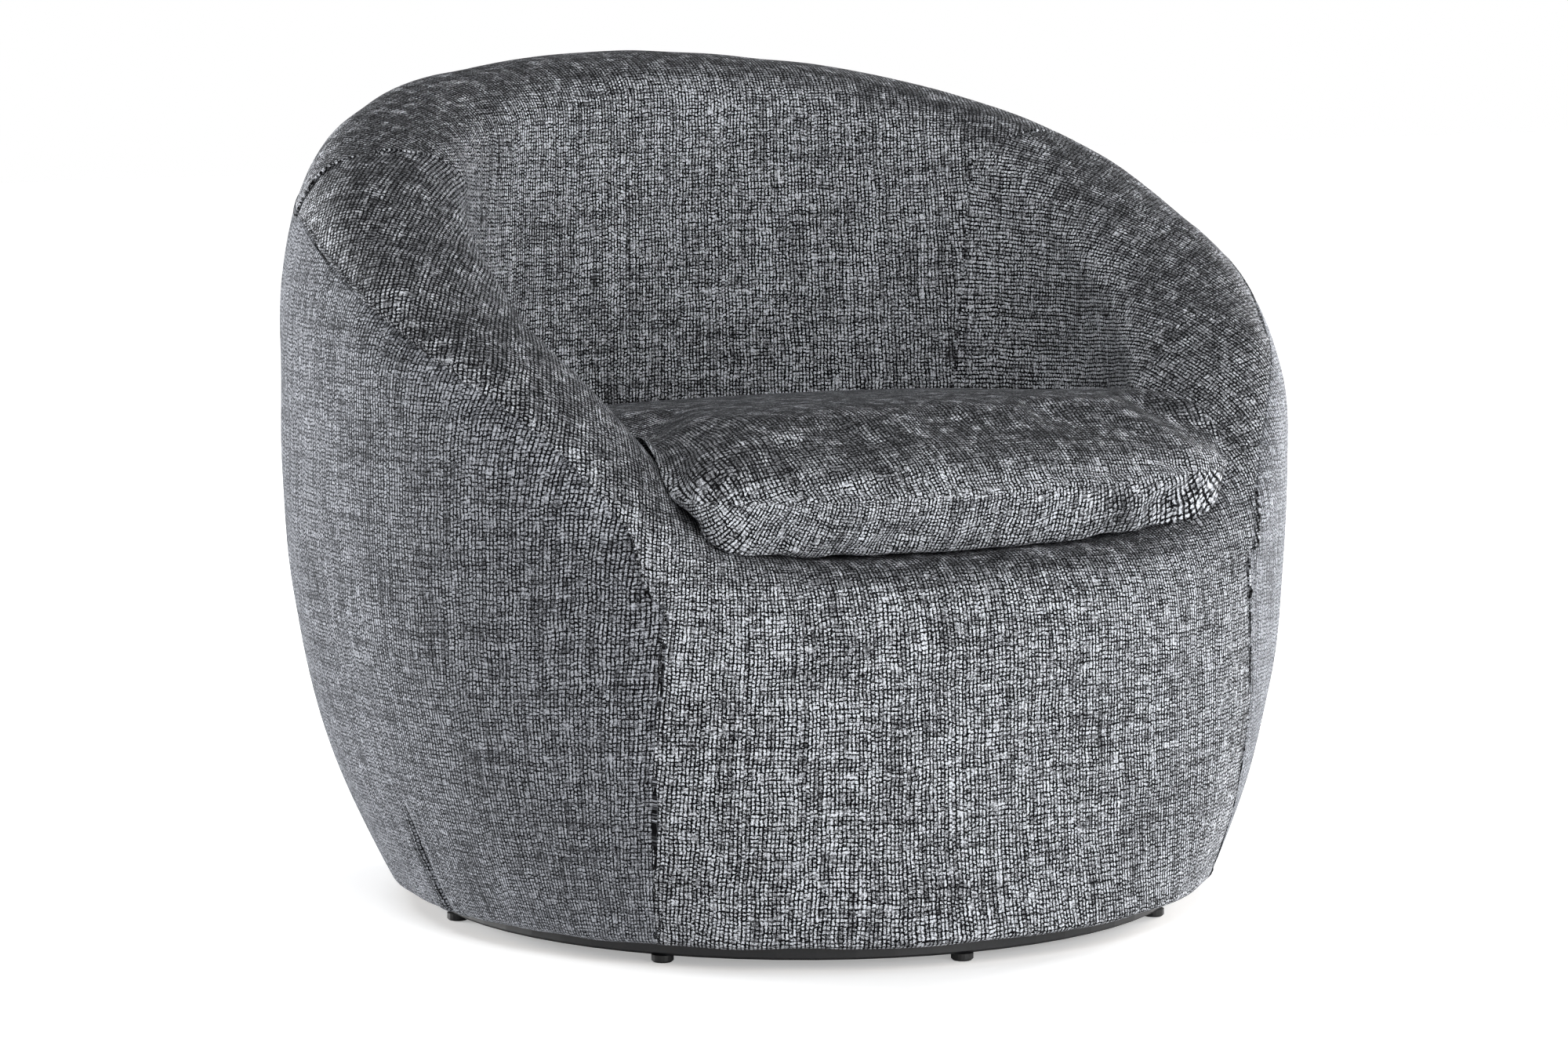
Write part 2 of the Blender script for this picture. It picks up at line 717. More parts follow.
def arms_and_front_cloth():
    """The T-shaped panel of the arms and the front."""
    reach, side, to_end = t_columns()
    turns = reach / column_radius
    slant = seam_slant(turns)
    way, above, last = t_rows(turns, side, slant)
    row = np.arange(len(way))[:, None]
    # The flap's last column goes straight down at its edge. Above the seam the same column runs on.
    lean = 1 + (front_seam_low / front_seam_high - 1) * np.clip(SEAM - way, 0, 1)
    flap_turn = np.clip(turns, -front_seam_high, front_seam_high) * lean
    on_flap = (above < 0) & ((row < last) | (side > flap_end))
    turn = np.where(on_flap, flap_turn, band_turn(turns, way))
    steep = np.interp(front_seam_high * column_radius, reach, slant)
    beside = np.where(above > 0, wedge_distance(side, above, steep), side)
    edge = np.minimum(np.where(side > 0, beside, above / slant), to_end)
    along = np.where((above > 0) & (edge != to_end), reach, above)
    points = sewn_points(place(turn, *skin(turn, way)), along, edge)
    keep = (row[:-1] >= last) | ((side[:-1] > flap_end) & (side[1:] > flap_end))
    return unwrap(grid_piece("arm_and_front_cloth", points, edge, keep))


arms_and_front = arms_and_front_cloth()

# %% [markdown]
# ## The inside back
#
# The inside back is a panel of its own, between two seams that lean forward as they climb. It rolls over
# the rim and meets the outside panels in the seam under the roll.

# %% Inside back
back_columns, back_rows = 120, 110


def inside_back_cloth():
    """The back's panel: columns from seam to seam round the back, rows from the outer seam to the foot."""
    half = math.pi - back_seam_high
    reach = 2 * half * column_radius
    distance = spread(reach, back_columns, True, True)[:, 0]
    turns = back_seam_high + np.clip(distance, 0, reach) / column_radius
    ways, lengths = lengths_along(turns, SEAM, FOOT)
    rise = spread(lengths[-1], back_rows, True, False)
    way = ways_at(rise, lengths, ways)
    turn = math.pi + (turns - math.pi) * (math.pi - seam_turn(way)) / half
    to_side = np.minimum(distance, reach - distance)
    along = np.where(rise < to_side, distance, rise)
    edge = np.minimum(rise, to_side)
    points = sewn_points(place(turn, *skin(turn, way)), along, edge)
    return unwrap(grid_piece("inside_back_cloth", points, edge))


inside_back = inside_back_cloth()

# %% [markdown]
# ## The loose seat cushion
#
# The cushion is cut to the bowl and comes forward over the front rail, where the arms are low. On the
# right an ear of it rides up over the arm's shoulder, and on the left it stays inside the arm. Two shaped
# panels, top and bottom, meet in a knife-edge seam. It is cut a little small, and a cloth simulation with
# air pressure fills it, so that the cloth pulls towards the seam as it does over real foam.

# %% Plan of the cushion
cushion_overhang = 0.112
overhang_turns = (0, 15, 25, 31, 35, 38, 41, 44, 47, 50, 55, 62, 75, 180)
right_shares = (0.79, 0.82, 0.89, 0.965, 0.985, 0.955, 0.84, 0.66, 0.44, 0.25, 0.06, 0.0, 0.0, 0.0)
left_shares = (0.79, 0.82, 0.89, 0.95, 0.90, 0.78, 0.62, 0.44, 0.29, 0.15, 0.04, 0.0, 0.0, 0.0)
cushion_clearance, ease_share = 0.003, 0.2
quarter_degrees = 1440


def turn_towards(angle):
    """The turn whose heading makes an angle with the front, read off a fine table of headings."""
    turns = np.linspace(-math.pi, math.pi, quarter_degrees + 1)
    edge = plan_edge(turns)
    return np.interp(angle, np.unwrap(np.arctan2(edge[:, 0], -edge[:, 1])), turns)


def bowl_height(turn, radius):
    """Height of the skin over a plan point: the deck, the inside of the roll or the crown outside."""
    crest, middle = crest_height(turn), widest_height(turn)
    inner, peak, wide = inner_radius(turn), crest_radius(turn), wide_radius(turn)
    over = np.clip((peak - radius) / (peak - inner), 0, 1)
    inside = crest - inner_drop(turn) * (1 - (1 - over**roll_power) ** (1 / roll_power))
    out = np.clip((radius - peak) / (wide - peak), 0, 1)
    outside = middle + (crest - middle) * (1 - out**crown_power) ** (1 / crown_power)
    return np.where(radius < inner, deck_height, np.where(radius < peak, inside, outside))


def overhang(turn):
    """How far the cushion comes out of the bowl: over the low front rail and the right arm's shoulder."""
    left = smooth_table(overhang_turns, left_shares, away(turn))
    right = smooth_table(overhang_turns, right_shares, away(turn))
    return cushion_overhang * np.where(np.sin(turn) < 0, left, right)


def cushion_radius(turn):
    """Plan radius of the cushion: close inside the bowl, and past it by the overhang."""
    return inner_radius(turn) - cushion_clearance + overhang(turn)


def rest_height(turn, radius):
    """Lowest height over a plan point: the higher of the bowl there and the bowl a little further out."""
    return np.maximum(bowl_height(turn, radius), bowl_height(turn, radius + overhang(turn) * ease_share))


print(f"the cushion comes {overhang(0.0) * 1000:.0f} mm out of the bowl in front")

# %% [markdown]
# ## The cushion's two sides
#
# Over the plan each side is a low dome that stays full nearly to its edge and then turns down or up to
# the seam. Where the bowl or the rail is higher than the dome, the side lies on it. The weave's material
# needs the distance of each point to the seam, so the cloth is also measured along its radii.

# %% Sides of the cushion before it is filled
cushion_seam_height, cushion_top, cushion_slope_share = 0.363, 0.404, 0.085
cushion_top_power, cushion_base_power, cushion_edge_power = 4.5, 14.0, 0.5
ear_turns = (0, 33, 37, 40, 43, 46, 50, 60, 75, 180)
ear_shares = (0.0, 0.0, 0.15, 0.45, 0.85, 1.0, 0.95, 0.50, 0.0, 0.0)
ear_lift, climb_power, left_climb = 0.040, 8, 0.022
rim_clearance, rim_share, deck_gap = 0.003, 0.5, 0.0004
ray_count, ray_steps = 360, 160


def cushion_points(angle, out, top, small):
    """Points of one side at an angle from the front and a share of the way out, cut small by a length.

    The height leaves the seam's own level by a rise or a fall times (1 - out^power)^0.5, so that the side
    is full up to its edge. The top is higher towards the front. The seam climbs into the right ear, and
    on the left it climbs the arm as far as the arm makes it.
    """
    turn = turn_towards(angle)
    rim = cushion_radius(turn) - small
    radius = rim * out
    rest = rest_height(turn, radius) + np.where(out > rim_share, rim_clearance, deck_gap)
    on_arm = np.clip(rest_height(turn, rim) - cushion_seam_height, 0, left_climb)
    ear = ear_lift * smooth_table(ear_turns, ear_shares, away(turn))
    on_right = np.sin(turn) > 0
    climb = np.where(on_right, ear, on_arm) * out**climb_power
    level = cushion_seam_height + climb
    if top:
        ahead = -heading(turn)[..., 1] * radius
        rise = cushion_top - cushion_seam_height - small + cushion_slope_share * ahead
        rise = rise - np.where(on_right, 0, np.minimum(climb, rise))
        height = level + rise * (1 - out**cushion_top_power) ** cushion_edge_power
        rest = rest + np.where(out < 1, cushion_clearance, 0)
    else:
        fall = cushion_seam_height - deck_height - deck_gap - small / 4
        height = level - fall * (1 - out**cushion_base_power) ** cushion_edge_power
    return place(turn, radius, np.maximum(height, rest))


def cushion_lengths(angle, out, top):
    """Length of cloth on one side, along a radius from its middle to angles and shares of the way out."""
    # The shares lie close together near the rim, where the side turns down: a share is sin of an even step.
    steps = np.linspace(0, math.pi / 2, ray_steps + 1)
    angles = np.linspace(-math.pi, math.pi, ray_count + 1)
    length = arc(cushion_points(angles[:, None], np.sin(steps)[None, :], top, 0), 1)
    column = (angle - angles[0]) / (angles[1] - angles[0])
    row = np.arcsin(out) / steps[1]
    i = np.minimum(column.astype(int), len(angles) - 2)
    j = np.minimum(row.astype(int), len(steps) - 2)
    s, t = column - i, row - j
    near = length[i, j] * (1 - t) + length[i, j + 1] * t
    far = length[i + 1, j] * (1 - t) + length[i + 1, j + 1] * t
    return near * (1 - s) + far * s


# %% [markdown]
# ## A closed disc without a pole
#
# Rings and spokes would crowd together in the middle of the cushion, where its cloth is in full view. A
# square grid carried onto a disc gives cells that are nearly even. Two such discs share the points of
# their rim, which makes one closed mesh, and the edges on the rim are marked as its seam. The cushion
# and the deck under it are both made in this way.

# %% Join two discs
disc_cells, rim_crowding = 96, 0.88


def disc_grid():
    """Angles and shares of the way out of a square grid carried onto a disc.

    The point (a, b) of the square goes to a(1 - b²/2)^0.5 across and b(1 - a²/2)^0.5 back. Its lines are
    drawn a little closer together towards the rim, where the cushion turns down.
    """
    ticks = np.linspace(-1, 1, disc_cells + 1)
    ticks = np.sin(ticks * math.pi / 2) * rim_crowding + ticks * (1 - rim_crowding)
    a, b = np.meshgrid(ticks, ticks)
    x, y = a * np.sqrt(1 - b**2 / 2), b * np.sqrt(1 - a**2 / 2)
    return np.arctan2(x, -y), np.clip(np.hypot(x, y), 0, 1)


rim_points = np.ones((disc_cells + 1,) * 2, bool)
rim_points[1:-1, 1:-1] = False


def joined(top, low):
    """Values for the vertices of a closed disc: all of the top's, then the underside's inside the rim."""
    return np.concatenate([top.reshape(-1, *top.shape[2:]), low[~rim_points]])


def closed_disc(name, top, low):
    """Joins two sides at their common rim into one closed mesh, with a seam along the rim."""
    index = np.arange(rim_points.size).reshape(rim_points.shape)
    under = index.copy()
    under[~rim_points] = rim_points.size + np.arange((~rim_points).sum())
    quads = np.concatenate([cells_of(index).reshape(-1, 4), cells_of(under)[..., ::-1].reshape(-1, 4)])
    piece = mesh_piece(name, joined(top, low), quads)
    ends = np.empty(len(piece.data.edges) * 2, int)
    piece.data.edges.foreach_get("vertices", ends)
    sewn = joined(rim_points, rim_points)[ends.reshape(-1, 2)].all(-1)
    piece.data.edges.foreach_set("use_seam", sewn)
    print(f"{name}: {len(quads)} cells, {sewn.sum()} steps of seam")
    return piece


# %% The cushion before it is filled
cut_small, seam_softness = 0.003, 0.0012


def cushion_piece(name):
    """The cushion's two sides as a closed disc, dressed and laid flat."""
    angle, out = disc_grid()
    sides, edges = [], []
    for top in (True, False):
        to_rim = cushion_lengths(angle, np.ones_like(out), top) - cushion_lengths(angle, out, top)
        sides.append(cushion_points(angle, out, top, cut_small))
        edges.append(to_rim + seam_softness)
    piece = closed_disc(name, *sides)
    nap = np.clip(normals_of(sides[0])[..., 2], 0, 1)
    dress(piece.data, joined(*edges), joined(nap, np.zeros_like(nap)))
    return unwrap(piece, 2)


cushion = cushion_piece("seat_cushion_cloth")

# %% [markdown]
# ## What lies under the covers
#
# Under the covers lies cut foam, glued to the frame and rolled over the rim. A foam pad is the same skin
# at two depths, closed along its edges.

# %% Foam pads
foam_outer_depth, foam_inner_depth, front_foam_depth = 0.0046, 0.019, 0.009
foam_columns, foam_rows, foam_top, foam_foot, foam_play = 48, 40, SEAM + 0.01, 4.97, 0.0006


def shell(name, outer, inner, wraps):
    """A closed piece between two grids of the same size; wraps joins the last column to the first."""
    size = outer[..., 0].size
    index = np.arange(size).reshape(outer.shape[:2])
    if wraps:
        index = np.concatenate([index, index[:, :1]], 1)
    quads = [cells_of(index).reshape(-1, 4), cells_of(index + size)[..., ::-1].reshape(-1, 4)]
    lines = [index[0, ::-1], index[-1]]
    if not wraps:
        lines += [index[:, 0], index[::-1, -1]]
    for line in lines:
        a, b = line[:-1], line[1:]
        quads.append(np.stack([b + size, a + size, a, b], -1))
    points = np.concatenate([outer.reshape(-1, 3), inner.reshape(-1, 3)])
    piece = mesh_piece(name, points, np.concatenate(quads))
    print(f"{name}: {len(piece.data.polygons)} cells")
    return piece


def foam_pad(name, start, end, depth):
    """Foam from one turn to another, and along the slice from the outer seam to the foot."""
    turns = np.linspace(start + foam_play, end - foam_play, foam_columns)
    ways = np.linspace(foam_top, foam_foot, foam_rows)
    points = place(turns, *skin(turns, ways[:, None]))
    normal = normals_of(points)
    return shell(name, points - normal * foam_outer_depth, points - normal * depth, False)


seam_back, seam_front = back_seam_low, front_seam_high
foams = {
    "back_foam": foam_pad("back_foam_pad", seam_back, 2 * math.pi - seam_back, foam_inner_depth),
    "arm_foam_right": foam_pad("arm_foam_pad_right", seam_front, seam_back, foam_inner_depth),
    "arm_foam_left": foam_pad("arm_foam_pad_left", -seam_back, -seam_front, foam_inner_depth),
    "front_foam": foam_pad("front_foam_pad", -seam_front, seam_front, front_foam_depth),
}

# %% [markdown]
# ## Deck and dust cover
#
# Below the cushion a dark decking cloth is drawn over a pad on the springs, and it sags a little in the
# middle. A thin black cloth closes the chair underneath. It is a ring, because the bearing goes through
# its middle. Both take their heights from the CAD pieces that they stand for.

# %% Deck
deck_under, deck_under_share, deck_play, deck_sag, deck_round = 0.030, 0.5, 0.002, 0.0035, 14


def deck_piece(name):
    """The decking cloth over its pad: a superellipse up the edge, with a sag of (1 - out²)² on top."""
    angle, out = disc_grid()
    turn = turn_towards(angle)
    wall = inner_radius(turn)
    radius = wall + np.minimum(deck_under, (crest_radius(turn) - wall) * deck_under_share) - deck_play
    pad_low, pad_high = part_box("deck_pad")
    middle = (pad_low[2] + pad_high[2]) / 2
    thick = ((pad_high[2] - pad_low[2]) / 2 - deck_play / 4) * (1 - out**deck_round) ** 0.5
    top = place(turn, radius * out, middle + thick - deck_sag * (1 - out**2) ** 2)
    return closed_disc(name, top, place(turn, radius * out, middle - thick))


deck = deck_piece("deck_cloth")

# %% Dust cover
dust_hole_radius, dust_play, dust_sag, dust_thickness = 0.213, 0.0008, 0.0012, 0.0006
dust_low, dust_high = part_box("dust_cover")
dust_reach = min(dust_high[0] - dust_low[0], dust_high[1] - dust_low[1]) / 2 - dust_play
dust_turns = np.linspace(0, 2 * math.pi, 96, endpoint=False)
dust_shares = np.linspace(0, 1, 9)[:, None]


def dust_side(height):
    """One side of the dust cover: a flat ring that sags between its edges."""
    radius = dust_hole_radius + (dust_reach - dust_hole_radius) * dust_shares
    x = radius * np.sin(dust_turns)
    y = (dust_low[1] + dust_high[1]) / 2 - radius * np.cos(dust_turns)
    return np.stack([x, y, height - dust_sag * np.sin(math.pi * dust_shares) + 0 * dust_turns], -1)


dust = shell("dust_cloth", dust_side(dust_high[2] - dust_thickness), dust_side(dust_high[2]), True)

# %% [markdown]
# ## Filling the cushion
#
# The seam ring is pinned, the cloth is allowed to grow by about a hundredth, and pressure blows it up
# for twenty frames. The result is then read back as plain points. No point may go further than a few
# millimetres, and none may go into the bowl that holds the cushion.

# %% Simulate and apply the filling
fill_pressure, fill_growth, fill_frames, fill_cap = 3.2, -0.012, 20, 0.009
settle_past_rim, settle_share, settle_clearance = 0.0015, 0.6, 0.003


def fill(piece, pinned):
    """Runs the cloth on a piece, caps how far each point moves and applies the result."""
    before = positions(piece.data)
    group = piece.vertex_groups.new(name="seam")
    group.add([int(k) for k in pinned], 1.0, "REPLACE")
    cloth = piece.modifiers.new("cloth", "CLOTH")
    settings = cloth.settings
    settings.quality = 8
    settings.mass = 0.3
    settings.tension_stiffness = 12
    settings.compression_stiffness = 12
    settings.shear_stiffness = 4
    settings.bending_stiffness = 0.4
    settings.vertex_group_mass = "seam"
    settings.use_pressure = True
    settings.uniform_pressure_force = fill_pressure
    settings.shrink_min = fill_growth
    settings.effector_weights.gravity = 0
    cloth.collision_settings.use_collision = False
    for number in range(1, fill_frames + 1):
        bpy.context.scene.frame_set(number)
    graph = bpy.context.evaluated_depsgraph_get()
    move = positions(piece.evaluated_get(graph).data) - before
    bpy.context.scene.frame_set(1)
    piece.modifiers.clear()
    piece.vertex_groups.clear()
    size = np.linalg.norm(move, axis=1, keepdims=True)
    move *= np.minimum(1, fill_cap / np.maximum(size, tiny))
    piece.data.vertices.foreach_set("co", (before + move).astype(np.float32).ravel())
    print(f"{piece.name}: filled, moved {size.max() * 1000:.1f} mm at most")


def settle(piece):
    """Keeps every point inside the cushion's own plan, and clear of the deck, the roll and the rail."""
    points = positions(piece.data)
    flat = points[:, :2] - axis
    turn = turn_towards(np.arctan2(flat[:, 0], -flat[:, 1]))
    limit = cushion_radius(turn) + settle_past_rim
    radius = np.minimum(np.linalg.norm(flat, axis=1), limit)
    points[:, :2] = axis + heading(turn) * radius[:, None]
    clear = np.where(radius > settle_share * limit, settle_clearance, deck_gap)
    points[:, 2] = np.maximum(points[:, 2], bowl_height(turn, radius) + clear)
    piece.data.vertices.foreach_set("co", points.astype(np.float32).ravel())
    piece.data.update()


fill(cushion, np.flatnonzero(rim_points))
settle(cushion)
finer = cushion.modifiers.new("finer", "SUBSURF")
finer.levels = 1
finer.render_levels = 1

# %% [markdown]
# ## Chenille
#
# The cover is a chenille: a soft, furry weft yarn held by a fine warp, beaten up into small rounded
# tufts. Each tuft is about 3.2 mm across and stands a millimetre high, with a dark gap round it. The gaps
# run as ribs down the cloth and less clearly across it, they open and close along the way, and the tufts
# differ in shade. Where the pile is crushed it lies flat and dark, with a few bright hairs on it. That
# happens in smudges all over, and nearly everywhere on a surface that faces up.
#
# All of it is drawn on the weave map, counted in tufts. Noise first pushes the threads about a little,
# because a straight grid looks like wire mesh, and then gives each other irregularity its own field.

# %% Threads that wander and fields of noise
tuft_pitch = 3.2
tufts_per_metre = 1000 / tuft_pitch
# A slow drift, then two that shift single tufts: waves to a tuft, and reach in tufts.
drifts = ((0.10, 1.5), (0.8, 0.45), (2.2, 0.42))
# Waves to a tuft across and along, detail, roughness, then the range of the noise that is used and what
# its two ends become.
noises = (
    ("hair", 2.6, 2.6, 2, 0.75, 0.0, 1.0, -0.95, 0.95),
    ("open between ribs", 0.9, 0.35, 2, 0.5, 0.34, 0.54, 0.15, 1.0),
    ("open between rows", 0.35, 0.9, 2, 0.5, 0.38, 0.58, 0.10, 1.0),
    ("darker warp", 0.70, 0.030, 3, 0.6, 0.0, 1.0, -0.70, 0.70),
    ("darker weft", 0.030, 0.65, 3, 0.6, 0.0, 1.0, -0.62, 0.62),
    ("clouds", 0.045, 0.045, 3, 0.5, 0.0, 1.0, -0.18, 0.18),
    ("smudge", 0.24, 0.16, 4, 0.65, 0.60, 0.74, 0.0, 0.5),
    ("bright hairs", 0.20, 0.20, 6, 0.80, 0.50, 0.62, 0.0, 1.2),
)


def wandering_threads(tree):
    """The weave map counted in tufts, with the threads pushed about by noise."""
    weave = add(tree, "UVMap", uv_map="weave").outputs["UV"]
    counted = {0: weave, 1: (tufts_per_metre,) * 3}
    threads = add(tree, "VectorMath", counted, operation="MULTIPLY").outputs[0]
    for waves, reach in drifts:
        drift = add(tree, "TexNoise", {"Vector": threads, "Scale": waves, "Detail": 2.0}).outputs["Color"]
        drift = add(tree, "VectorMath", {0: drift, 1: (0.5, 0.5, 0.5)}, operation="SUBTRACT").outputs[0]
        drift = add(tree, "VectorMath", {0: drift, "Scale": reach}, operation="SCALE").outputs[0]
        threads = add(tree, "VectorMath", {0: threads, 1: drift}, operation="ADD").outputs[0]
    return threads


def noise_fields(tree, threads):
    """Fields of noise by name, each with its own stretch along the threads and its own range."""
    fields = {}
    for field, across, along, detail, roughness, low, high, start, end in noises:
        stretched = {0: threads, 1: (across, along, 1)}
        scaled = add(tree, "VectorMath", stretched, operation="MULTIPLY").outputs[0]
        noise = add(tree, "TexNoise", {
            "Vector": scaled,
            "Scale": 1.0,
            "Detail": detail,
            "Roughness": roughness,
        })
        fields[field] = add(tree, "MapRange", {
            "Value": noise.outputs["Fac"],
            "From Min": low,
            "From Max": high,
            "To Min": start,
            "To Max": end,
        }).outputs[0]
    return fields


print(f"tufts every {tuft_pitch} mm, and {len(noises)} fields of noise")

# %% [markdown]
# ## Tufts
#
# A tuft is one cell of the threads, and the gaps are what lies near the cell's border. Both come from
# one field, "closed", which the shade and the bump read, so that a gap is dark just where it is deep.

# %% Tufts and the gaps between them
rib_gap, row_gap, gap_softness, gap_raggedness, rib_shift = 0.31, 0.28, 0.20, 0.35, 0.5


def tufts(tree, threads, fields):
    """How far the pile is closed, from 0 in a gap to 1 on a tuft, and a shade of its own for each tuft.

    Ribs run up the cloth, and in each rib the tufts start at a height of their own. A gap is where the
    distance to the middle of a tuft, made ragged by the hair, is past the tuft's width.
    """
    split = add(tree, "SeparateXYZ", {0: threads}).outputs
    rib = add(tree, "Math", {0: split[0]}, operation="FLOOR").outputs[0]
    start = add(tree, "TexWhiteNoise", {"W": rib}, noise_dimensions="1D").outputs["Value"]
    height = add(tree, "Math", {0: start, 1: rib_shift, 2: split[1]}, operation="MULTIPLY_ADD").outputs[0]
    closed = 1.0
    sides = ((split[0], rib_gap, "open between ribs"), (height, row_gap, "open between rows"))
    for way, width, field in sides:
        way = add(tree, "Math", {0: way, 1: 0.5}, operation="PINGPONG").outputs[0]
        ragged = {0: fields["hair"], 1: gap_raggedness, 2: way}
        ragged = add(tree, "Math", ragged, operation="MULTIPLY_ADD").outputs[0]
        gap = add(tree, "MapRange", {
            "Value": ragged,
            "From Min": width - gap_softness,
            "From Max": width,
            "To Min": 1.0,
            "To Max": 0.0,
        }, interpolation_type="SMOOTHSTEP").outputs[0]
        gap = add(tree, "Math", {0: gap, 1: fields[field]}, operation="MULTIPLY").outputs[0]
        shut = add(tree, "Math", {0: 1.0, 1: gap}, operation="SUBTRACT").outputs[0]
        closed = add(tree, "Math", {0: closed, 1: shut}, operation="MULTIPLY").outputs[0]
    cell = add(tree, "Math", {0: height}, operation="FLOOR").outputs[0]
    cell = add(tree, "CombineXYZ", {0: rib, 1: cell}).outputs[0]
    own = add(tree, "TexWhiteNoise", {"Vector": cell}, noise_dimensions="2D").outputs["Value"]
    return closed, own


# %% [markdown]
# ## The shade of the pile
#
# Pile looks pale where its ends face the eye and dark where it lies down or opens. So the shade is worked
# out on one scale, from dark to pale, and only its two ends are colours. The sum is made on the eye's
# scale, where equal steps look equal, and a power of 2.2 takes it to the light's scale.

# %% Shade of the pile
tuft_shade, tuft_spread = 0.72, 0.28
lying_from, lying_share = 0.30, 0.48
seam_shade, seam_valley = 0.85, 0.0012
eye_power = 2.2


def pile_shade(tree, fields, closed, own):
    """Shade of the pile on the light's scale, and how far it is crushed, both from 0 to 1."""
    tone = {0: own, 1: tuft_spread, 2: tuft_shade}
    tone = add(tree, "Math", tone, operation="MULTIPLY_ADD").outputs[0]
    for field in ("hair", "darker warp", "darker weft", "clouds"):
        tone = add(tree, "Math", {0: tone, 1: fields[field]}, operation="ADD").outputs[0]
    # Crushed pile: small smudges, and a dark lie of the pile where the surface faces up, with bright hairs.
    nap = add(tree, "Attribute", attribute_name="nap").outputs["Fac"]
    lying = {"Value": nap, "From Min": lying_from, "From Max": 1.0, "To Max": lying_share}
    lying = add(tree, "MapRange", lying, interpolation_type="SMOOTHSTEP").outputs[0]
    crushed = add(tree, "Math", {0: lying, 1: fields["smudge"]}, operation="MAXIMUM").outputs[0]
    upright = add(tree, "Math", {0: 1.0, 1: crushed}, operation="SUBTRACT").outputs[0]
    tone = add(tree, "Math", {0: tone, 1: upright}, operation="MULTIPLY").outputs[0]
    tone = {0: fields["bright hairs"], 1: lying, 2: tone}
    tone = add(tree, "Math", tone, operation="MULTIPLY_ADD").outputs[0]
    tone = add(tree, "Math", {0: tone, 1: closed}, operation="MULTIPLY").outputs[0]
    # The valley of a seam is in shade.
    edge = add(tree, "Attribute", attribute_name="edge").outputs["Fac"]
    valley = {"Value": edge, "From Max": seam_valley, "To Min": seam_shade, "To Max": 1.0}
    valley = add(tree, "MapRange", valley).outputs[0]
    tone = add(tree, "Math", {0: tone, 1: valley}, operation="MULTIPLY").outputs[0]
    tone = add(tree, "Math", {0: tone, 1: 0.0}, operation="MAXIMUM").outputs[0]
    tone = add(tree, "Math", {0: tone, 1: eye_power}, operation="POWER").outputs[0]
    return tone, crushed


# %% [markdown]
# ## Two lies of the same cloth
#
# The pile of the outside panels lies the other way from that of the other panels, so they gleam more at
# their edges and are a little darker in the middle. One function makes both.

# %% The chenille material
hair_height, crushed_height, tuft_height = 0.25, -0.8, 0.0012


def chenille(name, pale, dark, sheen):
    """Chenille on the weave map; pale and dark are the two ends of the pile's shades."""
    made, tree = new_material(name)
    threads = wandering_threads(tree)
    fields = noise_fields(tree, threads)
    closed, own = tufts(tree, threads, fields)
    tone, crushed = pile_shade(tree, fields, closed, own)
    shades = {"Factor": tone, 6: linear(dark), 7: linear(pale)}
    colour = add(tree, "Mix", shades, data_type="RGBA").outputs[2]
    pile = {0: fields["hair"], 1: hair_height, 2: closed}
    pile = add(tree, "Math", pile, operation="MULTIPLY_ADD").outputs[0]
    pile = add(tree, "Math", {0: crushed, 1: crushed_height, 2: pile}, operation="MULTIPLY_ADD").outputs[0]
    bump = add(tree, "Bump", {"Height": pile, "Distance": tuft_height, "Strength": 1.0}).outputs["Normal"]
    shader = add(tree, "BsdfPrincipled", {
        "Base Color": colour,
        "Roughness": 0.85,
        "Specular IOR Level": 0.08,
        "Sheen Weight": sheen,
        "Sheen Roughness": 0.32,
        "Sheen Tint": linear("C9CED6"),
        "Normal": bump,
    })
    add(tree, "OutputMaterial", {"Surface": shader.outputs[0]})
    return made


cover_chenille = chenille("chenille_cover", "EBEEF5", "050507", 0.06)
outside_chenille = chenille("chenille_outside", "C4C7CF", "050507", 0.60)
for piece in (outside_left, outside_right):
    piece.data.materials.append(outside_chenille)
for piece in (arms_and_front, inside_back, cushion):
    piece.data.materials.append(cover_chenille)
print(f"{len(cover_chenille.node_tree.nodes)} nodes in {cover_chenille.name}")

# %% [markdown]
# ## Foam, board, steel and plastic
#
# The pieces of the frame keep their CAD shape and get a finish each. The foot is a board painted in
# charcoal, with the fine ripple that a sprayed coat has. The glides are moulded in black polypropylene
# with a fine spark-eroded grain. Plywood shows its grain, hardboard its short pressed fibres, the steel
# is zinc plated with a faint cloudiness, and foam has open cells. All patterns read Object coordinates.

# %% Finishes of the frame
pattern_low, pattern_high, gloss_spread, bump_strength = 0.3, 0.7, 0.08, 0.6


